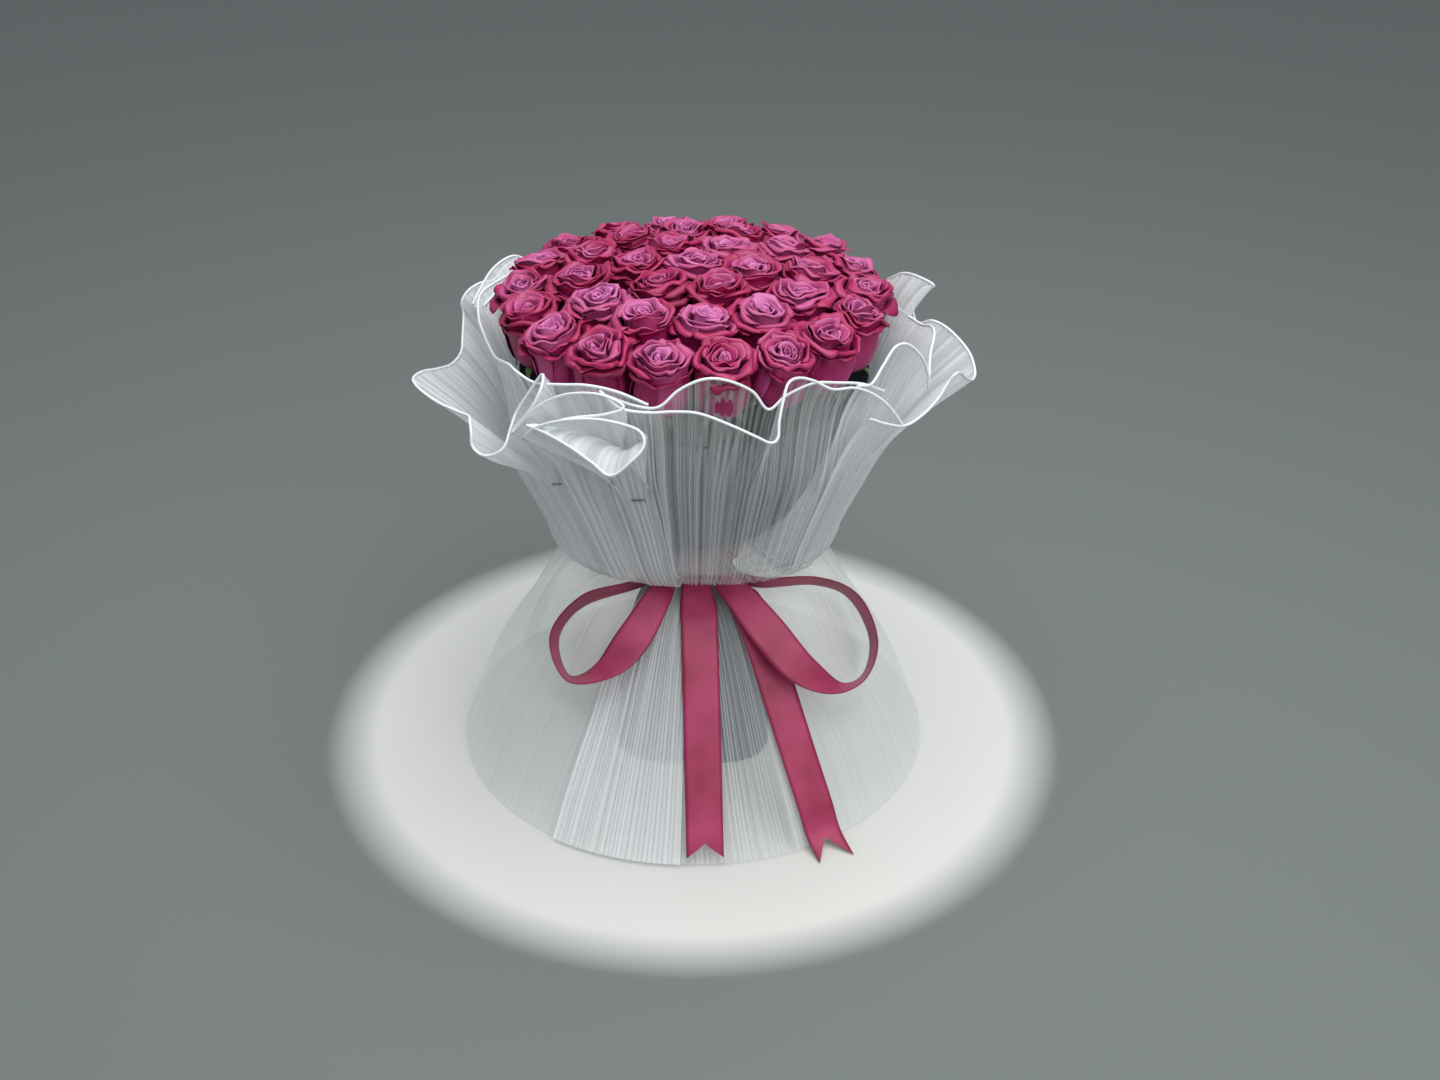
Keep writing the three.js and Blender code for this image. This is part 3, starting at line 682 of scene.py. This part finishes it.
# Each sheet: azimuths at the neck and at the far edge, its outer hem and its inner hem.
# A hem's stations are (azimuth, reach, height) in degrees and millimetres, and a lift where it folds over.
collarSheets = {
    "collar_left": ((153, 268, 153, 259), [
        (144, 182, 394), (148, 188, 389), (152, 191, 381), (155, 197, 381), (158, 203, 377),
        (160, 206, 369), (160, 205, 358), (164, 200, 346), (170, 194, 341), (178, 195, 343),
        (186, 203, 352), (192, 213, 361), (197, 221, 367), (201, 225, 370), (205, 223, 369),
        (209, 215, 364), (213, 206, 361), (216, 203, 361), (219, 208, 363), (221, 212, 358),
        (222, 214, 348), (225, 211, 344), (228, 203, 351), (227, 192, 362), (226, 183, 371),
        (228, 176, 386), (231, 170, 402), (233, 178, 396), (232, 186, 382), (229, 193, 366),
        (229, 196, 362), (232, 192, 376), (235, 189, 388), (242, 186, 402), (250, 185, 407),
        (256, 188, 402), (252, 192, 396), (244, 196, 389), (237, 200, 376), (234, 203, 366),
        (237, 202, 378), (243, 199, 388), (250, 196, 393), (256, 195, 392, 6), (260, 196, 388, 12),
        (261, 201, 380, 22), (259, 207, 371, 32), (255, 211, 359, 38), (251, 209, 366, 34),
        (246, 206, 373, 28), (240, 203, 377, 22), (235, 202, 378, 16),
    ], [
        (150, 176, 388), (156, 184, 383), (161, 187, 379), (170, 177, 373), (180, 166, 371),
        (190, 160, 372), (200, 160, 378), (210, 164, 388), (218, 170, 396), (224, 175, 398),
        (229, 172, 394), (236, 167, 397), (243, 163, 400), (251, 160, 398), (259, 158, 390),
    ]),
    "collar_front": ((248, 328, 248, 325), [
        (247, 165, 399), (253, 170, 391), (260, 172, 391), (266, 172, 393), (272, 172, 392),
        (279, 177, 385), (285, 182, 376), (288, 184, 371), (290, 182, 373), (291, 176, 383),
        (293, 169, 396), (295, 164, 405), (298, 163, 407), (302, 165, 403), (307, 169, 394),
        (314, 170, 389), (319, 174, 381), (323, 181, 369), (326, 189, 352),
    ], [
        (247, 160, 394), (256, 160, 389), (262, 162, 391), (267, 158, 403), (273, 157, 411),
        (279, 157, 410), (286, 158, 400), (290, 162, 386), (296, 157, 392), (304, 157, 396),
        (312, 159, 391), (320, 164, 384), (326, 172, 374),
    ]),
    "collar_right": ((318, 423, 315, 423), [
        (316, 182, 366), (321, 186, 357), (327, 190, 349), (332, 196, 352), (336, 202, 360),
        (339, 207, 371), (340, 211, 377), (343, 213, 373), (346, 216, 364), (350, 220, 356),
        (355, 222, 354), (360, 219, 360), (364, 211, 367), (368, 203, 371), (371, 195, 372),
        (374, 189, 366), (376, 186, 368), (379, 188, 380), (377, 193, 391), (373, 197, 399),
        (375, 190, 403), (381, 183, 401), (387, 180, 390), (394, 180, 374), (402, 184, 364),
        (412, 182, 368), (423, 184, 362),
    ], [
        (316, 168, 388), (321, 170, 385), (326, 170, 394), (331, 172, 404), (335, 178, 402),
        (338, 187, 388), (339, 191, 374), (340, 191, 362), (345, 188, 362), (350, 186, 374),
        (355, 188, 384), (361, 187, 382), (368, 183, 374), (376, 176, 374), (385, 170, 376),
        (396, 168, 366), (410, 172, 358), (423, 172, 358),
    ]),
    "collar_back": ((54, 162, 54, 162), [
        (54, 184, 362), (62, 190, 354), (70, 182, 366), (78, 188, 370), (86, 195, 358), (94, 184, 366),
        (102, 190, 372), (110, 196, 358), (118, 184, 364), (126, 188, 372), (134, 192, 368),
        (140, 182, 384), (146, 184, 397), (152, 190, 392), (158, 192, 380), (162, 192, 372),
    ], [
        (54, 172, 356), (68, 172, 352), (82, 170, 360), (96, 172, 354), (110, 170, 360), (124, 172, 356),
        (136, 170, 366), (146, 172, 384), (154, 178, 380), (162, 184, 370),
    ]),
}


def hemCurve(stations, start, end, count):
    # points of a hem, the azimuth of the sheet below each, and the lift of its fold
    samples, window = 1200, 150  # of the dense curve, and of them those that the smoothing spans
    table = np.array([tuple(s) + (0,) * (4 - len(s)) for s in stations], float)
    corners = polar(table[:, 1] / 1000, table[:, 0], table[:, 2] / 1000)
    packed = np.column_stack([corners, table[:, 0], table[:, 3] / 1000])
    steps = np.linspace(0, 1, samples)
    dense = smoothCurve(packed, steps)
    length = np.concatenate([[0], np.cumsum(np.linalg.norm(np.diff(dense[:, :3], axis=0), axis=1))])
    length /= length[-1]
    dense = np.column_stack([np.interp(steps, length, dense[:, k]) for k in range(5)])
    padded = np.concatenate([np.full(window, dense[0, 3]), dense[:, 3], np.full(window, dense[-1, 3])])
    smooth = np.convolve(padded, np.ones(window) / window, "same")[window:-window]
    smooth = np.maximum.accumulate(smooth)
    smooth = (smooth - smooth[0]) / (smooth[-1] - smooth[0])
    below = 0.82 * smooth + 0.18 * steps
    index = np.linspace(0, 1, count)
    return [np.column_stack([np.interp(index, steps, dense[:, k]) for k in range(3)]),
            start + (end - start) * np.interp(index, steps, below), np.interp(index, steps, dense[:, 4])]


def flaredColumns(azimuthNeck, azimuthEdge, hem, lift, offset, lean):
    # rows from the neck up: the outline below, then a bend that leaves it smoothly and ends on the hem
    low = np.linspace(0, collar["smoothTo"], collar["lowRows"])[:, None] * np.ones((1, len(hem)))
    azimuth = azimuthNeck + (azimuthEdge - azimuthNeck) * low / collar["smoothTo"]
    lower = sheetPoint(collarOutlines, azimuth, low, offset, -1)
    first = lower[-1]
    rising = lower[-1] - lower[-2]
    rising /= np.linalg.norm(rising, axis=-1, keepdims=True)
    span = np.linalg.norm(hem - first, axis=-1, keepdims=True)
    outward = hem * (1, 1, 0)
    outward /= np.linalg.norm(outward, axis=-1, keepdims=True)
    arriving = rising * (1 - lean) + outward * lean
    arriving /= np.linalg.norm(arriving, axis=-1, keepdims=True)
    handle = hem - arriving * span * 0.33 + np.array((0, 0, 1.0)) * lift[:, None] * 1.5
    t = np.linspace(0, 1, collar["highRows"])[1:, None, None]
    upper = ((1 - t) ** 3 * first + 3 * (1 - t) ** 2 * t * (first + rising * span * 0.36)
             + 3 * (1 - t) * t ** 2 * handle + t ** 3 * hem)
    return np.concatenate([lower, upper])


def pleatedSheet(name, grid, across, fullness, count, depth, unevenness, seed, material):
    rows, columns = grid.shape[:2]
    v = np.linspace(0, 1, rows)[:, None] * np.ones((1, columns))
    uv = np.stack([np.broadcast_to(across, (rows, columns)).ravel() * count / 90, v.ravel()], -1)
    mesh = makeMesh(name + "_smooth", grid.reshape(-1, 3), gridFaces(rows, columns), {
        "across": np.broadcast_to(across, (rows, columns)),
        "fullness": np.broadcast_to(fullness, (rows, columns))}, uv)
    return grown(name, pleatTree, mesh, {
        "Count": float(count), "Depth": depth, "Unevenness": unevenness, "Seed": float(seed),
        "Material": material})


def meshArea(mesh):
    return sum(p.area for p in mesh.polygons)


def makeCollar():
    for index, (name, (spans, outerStations, innerStations)) in enumerate(collarSheets.items()):
        startNeck, endNeck, startEdge, endEdge = spans
        pleats = round(abs(endEdge - startEdge) * collar["pleatsPerDegree"])
        columns = pleats * collar["samplesPerPleat"] + 1
        hem, below, lift = hemCurve(outerStations, startEdge, endEdge, columns)
        innerHem, innerBelow, _ = hemCurve(innerStations, startEdge, endEdge, collar["innerSamples"])
        inner = np.column_stack([np.interp(below, innerBelow, innerHem[:, k]) for k in range(3)])
        share = (below - startEdge) / (endEdge - startEdge)
        neck = startNeck + (endNeck - startNeck) * share
        gap = collar["lapGap"] * share
        outerGrid = flaredColumns(neck, below, hem, lift, gap, 0.35)
        innerGrid = flaredColumns(neck, below, inner, lift * 0, gap - collar["foldDepth"], 0.15)
        grid = np.concatenate([innerGrid[::-1][:-1], outerGrid])
        rows = len(grid)
        height = np.concatenate([np.linspace(1, 0, len(innerGrid))[:-1], np.linspace(0, 1, len(outerGrid))])
        deepening = 0.35 + 0.65 * smoothStep(height / 0.5)
        fullness = (deepening * (1 - 0.55 * smoothStep((height - 0.8) / 0.2)))[:, None]
        across = np.linspace(0, 1, columns)[None, :]
        material = organza["collarFront" if name == "collar_front" else "collarSide"]
        mesh = pleatedSheet(name + "_organza", grid, across, fullness, pleats, collar["pleatDepth"],
                            collar["unevenness"], collar["seed"] + 11 * index, material)
        sheet = addPiece(name + "_organza", mesh, material, [name])
        for side, line in (("outer", hem), ("inner", inner)):
            wire = grown("wire", tubeTree, pathMesh(line), {
                "Radius": collar["hemRadius"], "Sides": collar["hemSides"], "Thorn Size": 0.0,
                "Thorn Spacing": 1.0, "Material": hemMaterial})
            addPiece(f"{name}_{side}_hem", wire, hemMaterial)
        print(name, "area", round(meshArea(mesh), 4), "rows", rows, "columns", columns)


skirt = {"lapGap": 0.003, "rows": 44, "samplesPerPleat": 6, "lowest": 0.0006, "floorGap": 0.0002, "seed": 40}
# Each sheet: azimuths at the neck and edge, laps, pleats, their depth and unevenness, fabric, flat size.
skirtSheets = {
    "skirt_front_left": ((240, 268, 237, 268), 2, 26, 0.0016, 2.0, "skirtFan", (0.16, 0.23)),
    "skirt_front_right": ((264, 300, 264, 308), 1, 30, 0.0014, 2.0, "skirtMiddle", (0.18, 0.23)),
    "skirt_side_right": ((292, 400, 296, 400), 0, 34, 0.0010, 3.0, "skirtWing", (0.34, 0.24)),
    "skirt_side_left": ((138, 246, 138, 242), 0, 34, 0.0010, 3.0, "skirtWing", (0.34, 0.24)),
    "skirt_back": ((32, 146, 32, 146), -1, 40, 0.0012, 2.5, "skirtWing", (0.37, 0.24)),
}


def makeSkirt():
    for index, (name, facts) in enumerate(skirtSheets.items()):
        spans, laps, pleats, depth, unevenness, fabric, flat = facts
        startNeck, endNeck, startEdge, endEdge = spans
        columns = pleats * skirt["samplesPerPleat"] + 1
        share = np.linspace(0, 1, columns)[None, :]
        v = np.linspace(0, 1, skirt["rows"])[:, None]
        atNeck = startNeck + (endNeck - startNeck) * share
        atEdge = startEdge + (endEdge - startEdge) * share
        azimuth = atNeck * (1 - v) + atEdge * v
        grid = sheetPoint(skirtOutlines, azimuth, v * np.ones((1, columns)), skirt["lapGap"] * laps, 1)
        grid[..., 2] = np.maximum(grid[..., 2], skirt["lowest"])
        relaxed = 0.9 if fabric == "skirtWing" else 0.3  # how far the pleats open out towards the hem
        fullness = (0.5 + 0.5 * smoothStep(v / 0.3)) * (1 - relaxed * smoothStep((v - 0.3) / 0.45))
        material = organza[fabric]
        mesh = pleatedSheet(name + "_organza", grid, share, fullness, pleats, depth, unevenness,
                            skirt["seed"] + 7 * index, material)
        for vertex in mesh.vertices:
            vertex.co.z = max(vertex.co.z, skirt["floorGap"])
        sheet = addPiece(name + "_organza", mesh, material, [name])
        print(name, "area", round(meshArea(mesh), 4))


paper = {"squareness": 0.09, "shoulder": 0.14, "crease": 0.0022, "creases": 22, "columns": 264, "rows": 60,
         "flat": (0.58, 0.40)}
paperOutline = [
    (0.072, 0.0), (0.067, 0.050), (0.0576, 0.100), (0.0418, 0.140), (0.0311, 0.162), (0.0311, 0.198),
    (0.050, 0.2145), (0.073, 0.221), (0.089, 0.240), (0.103, 0.270), (0.121, 0.312), (0.139, 0.348),
]


def makePaper():
    v = np.linspace(0, 1, paper["rows"])[:, None] * np.ones((1, paper["columns"]))
    azimuth = np.linspace(0, 360, paper["columns"], endpoint=False)[None, :] * np.ones_like(v)
    section = smoothCurve(paperOutline, v)
    fade = np.maximum(1 - section[..., 1] / paper["shoulder"], 0)
    square = 1 + paper["squareness"] * np.cos(4 * np.radians(azimuth - 45)) * fade
    gathered = np.exp(-((section[..., 1] - 0.18) / 0.06) ** 2)
    angle = np.radians(azimuth)
    fold = np.abs((paper["creases"] * angle / math.tau + 0.25 * np.sin(3 * angle)) % 1 - 0.5) * 4 - 1
    reach = section[..., 0] * square + paper["crease"] * fold * (0.25 + 0.75 * gathered)
    grid = polar(reach, azimuth, section[..., 1])
    uv = np.stack([azimuth.ravel() / 360, v.ravel()], -1)
    faces = gridFaces(paper["rows"], paper["columns"], True)
    mesh = makeMesh("inner_paper_sheet", grid.reshape(-1, 3), faces, None, uv)
    sheet = addPiece("inner_paper_sheet", mesh, paperMaterial, ["inner_paper"])
    print("paper area", round(meshArea(mesh), 4))


ribbon = {
    "thickness": 0.0007, "across": 9, "width": 0.030, "notch": 0.11, "gapToSkirt": 0.0084,
    "leftTail": 273.7, "rightTail": 297, "rightTailSlant": 5.5, "bandReach": 0.0412, "bandFoot": 0.180,
    "bandWidth": 0.020, "bandRows": 13, "bandColumns": 96, "knotFront": 0.0540, "knotMiddle": 0.0480,
    "knotHeight": 0.189, "knotRows": 25, "knotColumns": 60,
}


def ribbonStrip(name, stations, steps, notch, node):
    # stations are a point, the direction across the ribbon and its width
    table = np.array([(*p, *w, width, 0) for p, w, width in stations], float)
    u = np.linspace(0, 1, steps)[:, None]
    v = np.linspace(-1, 1, ribbon["across"])[None, :]
    along = u * (1 - notch * (1 - np.abs(v)) * u ** 6)
    values = smoothCurve(table, along)
    across = values[..., 3:6] / np.linalg.norm(values[..., 3:6], axis=-1, keepdims=True)
    grid = values[..., :3] + across * (v[..., None] * values[..., 6:7] / 2)
    solid, quads = thinSolid(grid, ribbon["thickness"])
    solid[:, 2] = np.maximum(solid[:, 2], 0.0001)
    length = np.linalg.norm(np.diff(grid[:, ribbon["across"] // 2], axis=0), axis=1).sum()
    uv = np.stack([np.broadcast_to(v * 0.5 + 0.5, along.shape).ravel(), (along * length / 0.2).ravel()], -1)
    selvedge = np.tile(np.abs(np.broadcast_to(v, along.shape)).ravel(), 2)
    mesh = makeMesh(name, solid, quads, {"selvedge": selvedge}, np.tile(uv, (2, 1)))
    piece = addPiece(name, mesh, ribbonMaterial, [node])
    print(name, "length", round(float(length), 4))


def makeRibbon():
    root, high = ribbon["knotMiddle"], 0.190  # where the loops leave the knot
    left = [
        ((-0.0125, -root, high), (0, 0, 1), 0.012), ((-0.046, -0.068, 0.183), (-0.1, -0.5, 0.8), 0.016),
        ((-0.088, -0.086, 0.178), (0, -0.6, 0.8), 0.026),
        ((-0.111, -0.097, 0.150), (-0.2, -0.75, 0.6), 0.026),
        ((-0.099, -0.120, 0.126), (0, -0.86, 0.4), 0.026),
        ((-0.069, -0.126, 0.138), (0.5, -0.7, 0.1), 0.027),
        ((-0.046, -0.112, 0.160), (0.8, -0.4, -0.35), 0.028),
        ((-0.027, -0.084, 0.181), (0.7, -0.3, -0.5), 0.022),
        ((-0.0125, -root - 0.005, high - 0.003), (0.1, 0, -1), 0.014),
    ]
    right = [
        ((0.0125, -root, high), (0, 0, 1), 0.012), ((0.052, -0.064, 0.184), (0.1, -0.4, 0.85), 0.016),
        ((0.101, -0.060, 0.183), (0.1, -0.6, 0.8), 0.018),
        ((0.133, -0.054, 0.164), (0.25, -0.75, 0.6), 0.026),
        ((0.150, -0.068, 0.132), (0.2, -0.85, 0.5), 0.026),
        ((0.142, -0.094, 0.113), (0, -0.86, 0.4), 0.026),
        ((0.118, -0.116, 0.116), (-0.3, -0.8, 0.2), 0.027),
        ((0.088, -0.121, 0.138), (-0.7, -0.5, -0.2), 0.029),
        ((0.060, -0.106, 0.166), (-0.8, -0.4, -0.4), 0.029),
        ((0.036, -0.080, 0.183), (-0.7, -0.3, -0.5), 0.023),
        ((0.0125, -root - 0.005, high - 0.003), (-0.1, 0, -1), 0.014),
    ]
    ribbonStrip("ribbon_loop_left", left, 110, 0, "bow_loop_left")
    ribbonStrip("ribbon_loop_right", right, 120, 0, "bow_loop_right")

    drop = [0.27, 0.35, 0.47, 0.6, 0.75, 0.88, 0.97]  # places down the skirt
    front = ribbon["knotFront"]

    def onSkirt(azimuth, v):
        place = np.array(azimuth, float), np.array(v, float)
        return sheetPoint(skirtOutlines, *place, ribbon["gapToSkirt"], 1)

    leftAcross = polar(1.0, ribbon["leftTail"] + 90, 0.0)
    leftTail = [((0.002, -front - 0.0015, 0.182), leftAcross, 0.020)]
    leftTail += [(onSkirt(ribbon["leftTail"], v), leftAcross, ribbon["width"]) for v in drop]
    rightAcross = polar(1.0, ribbon["rightTail"] + 84, 0.0)
    rightTail = [((0.024, -front - 0.006, 0.179), (0.9, 0.1, 0.35), 0.014)]
    slant = ribbon["rightTailSlant"]
    rightTail += [(onSkirt(ribbon["rightTail"] + slant * v, v), rightAcross, ribbon["width"]) for v in drop]
    rightTail.append((polar(0.225, 302.0, 0.0006), rightAcross, ribbon["width"]))
    ribbonStrip("ribbon_tail_left", leftTail, 90, ribbon["notch"], "bow_tail_left")
    ribbonStrip("ribbon_tail_right", rightTail, 100, ribbon["notch"], "bow_tail_right")

    # the wound band, in three slightly gathered turns
    rows, columns = ribbon["bandRows"], ribbon["bandColumns"]
    v = np.linspace(0, 1, rows)[:, None] * np.ones((1, columns))
    azimuth = np.linspace(0, 360, columns, endpoint=False)[None, :] * np.ones_like(v)
    reach = ribbon["bandReach"] + 0.0006 * np.sin(v * 6 * math.pi + 0.4 * np.sin(np.radians(3 * azimuth)))
    grid = polar(reach, azimuth, ribbon["bandFoot"] + ribbon["bandWidth"] * v)
    uv = np.stack([v.ravel(), azimuth.ravel() / 120], -1)
    mesh = makeMesh("ribbon_band", grid.reshape(-1, 3), gridFaces(rows, columns, True),
                    {"selvedge": np.abs(2 * v - 1)}, uv)
    band = addPiece("ribbon_band", mesh, ribbonMaterial, ["waist_ribbon"])

    # the knot: a rounded, gathered wrap
    rows, columns = ribbon["knotRows"], ribbon["knotColumns"]
    u = np.linspace(0, 1, columns, endpoint=False)[None, :] * math.tau
    v = np.linspace(0, 1, rows)[:, None]
    pinch = 0.72 + 0.28 * np.sin(math.pi * v) ** 0.6
    fold = 1 + 0.05 * np.sin(v * 5 * math.tau + 1.5 * np.sin(u))
    closing = np.sin(np.arccos(np.clip(2 * v - 1, -1, 1) * 0.999)) ** 0.35
    x = (v - 0.5) * 0.022
    y = 0.0060 * pinch * fold * closing * np.cos(u)
    z = 0.0105 * pinch * fold * closing * np.sin(u)
    grid = np.stack(np.broadcast_arrays(x, y - ribbon["knotMiddle"], z + ribbon["knotHeight"]), -1)
    ends = [grid[0].mean(0), grid[-1].mean(0)]
    points = np.vstack([grid.reshape(-1, 3), ends])
    total = rows * columns  # the two end points follow
    last = total - columns
    faces = gridFaces(rows, columns, True)[:, ::-1].tolist()
    faces += [[total, k, (k + 1) % columns] for k in range(columns)]
    faces += [[total + 1, last + (k + 1) % columns, last + k] for k in range(columns)]
    uv = np.vstack([np.stack(np.broadcast_arrays(u / math.tau, v), -1).reshape(-1, 2), [[0.5, 0], [0.5, 1]]])
    mesh = makeMesh("ribbon_knot", points, faces, None, uv)
    addPiece("ribbon_knot", mesh, ribbonMaterial, ["bow_knot"])


def finishCadPieces():
    finishes = {"staple_left": steelMaterial, "staple_right": steelMaterial, "binding_tape": tapeMaterial}
    for name, material in finishes.items():
        piece = bpy.data.objects[name]
        piece.data.materials.clear()
        piece.data.materials.append(material)


studio = {
    "floorSize": 30.0, "pale": colour(216, 217, 212), "far": colour(110, 117, 115),
    "paleTo": 0.28, "farFrom": 0.325, "world": 0.50, "topPower": 25.0, "topSize": 1.6,
    "topPlace": (0.12, -0.12, 1.75), "frontPower": 11.0, "frontSize": 1.2, "frontPlace": (0.9, -1.5, 1.4),
    "aimHeight": 0.25, "cameraPlace": (0.022, -1.279, 0.957), "cameraPitch": 58.88, "cameraRoll": 0.65,
    "lens": 44.17,
}


def makeStudio():
    half = studio["floorSize"] / 2
    mesh = bpy.data.meshes.new("floor")
    corners = [(-half, -half, 0), (half, -half, 0), (half, half, 0), (-half, half, 0)]
    mesh.from_pydata(corners, [], [(0, 1, 2, 3)])
    floor = bpy.data.objects.new("floor", mesh)
    scene.collection.objects.link(floor)
    floor.location.z = -0.0005
    material, tree, shader = newMaterial("floorPaint", Roughness=0.75)
    place, length = tree.nodes.new("ShaderNodeTexCoord"), tree.nodes.new("ShaderNodeVectorMath")
    length.operation = "LENGTH"
    tree.links.new(place.outputs["Object"], length.inputs[0])
    shade = ramp(tree, length.outputs["Value"],
                 (studio["paleTo"], studio["pale"]), (studio["farFrom"], studio["far"]))
    tree.links.new(shade, shader.inputs["Base Color"])
    mesh.materials.append(material)

    world = bpy.data.worlds.new("softSky")
    scene.world = world
    world.use_nodes = True
    sky = world.node_tree.nodes["Background"]
    sky.inputs["Color"].default_value = (0.92, 0.96, 1.0, 1)
    sky.inputs["Strength"].default_value = studio["world"]

    aim = Vector((0, 0, studio["aimHeight"]))
    for name, place, size, power in (
            ("topLight", studio["topPlace"], studio["topSize"], studio["topPower"]),
            ("frontLight", studio["frontPlace"], studio["frontSize"], studio["frontPower"])):
        data = bpy.data.lights.new(name, "AREA")
        data.energy, data.size, data.shape = power, size, "SQUARE"
        light = bpy.data.objects.new(name, data)
        light.location = place
        light.rotation_euler = (aim - Vector(place)).to_track_quat("-Z", "Y").to_euler()
        scene.collection.objects.link(light)

    data = bpy.data.cameras.new("camera")
    data.lens, data.sensor_width = studio["lens"], 36.0
    data.clip_start, data.clip_end = 0.05, 50
    camera = bpy.data.objects.new("camera", data)
    camera.location = studio["cameraPlace"]
    pitch, roll = math.radians(studio["cameraPitch"]), math.radians(studio["cameraRoll"])
    camera.rotation_euler = (Matrix.Rotation(pitch, 3, "X") @ Matrix.Rotation(roll, 3, "Z")).to_euler()
    scene.collection.objects.link(camera)
    scene.camera = camera
    scene.view_settings.view_transform = "Standard"


makeRoses()
makePaper()
makeCollar()
makeSkirt()
makeRibbon()
finishCadPieces()
makeStudio()
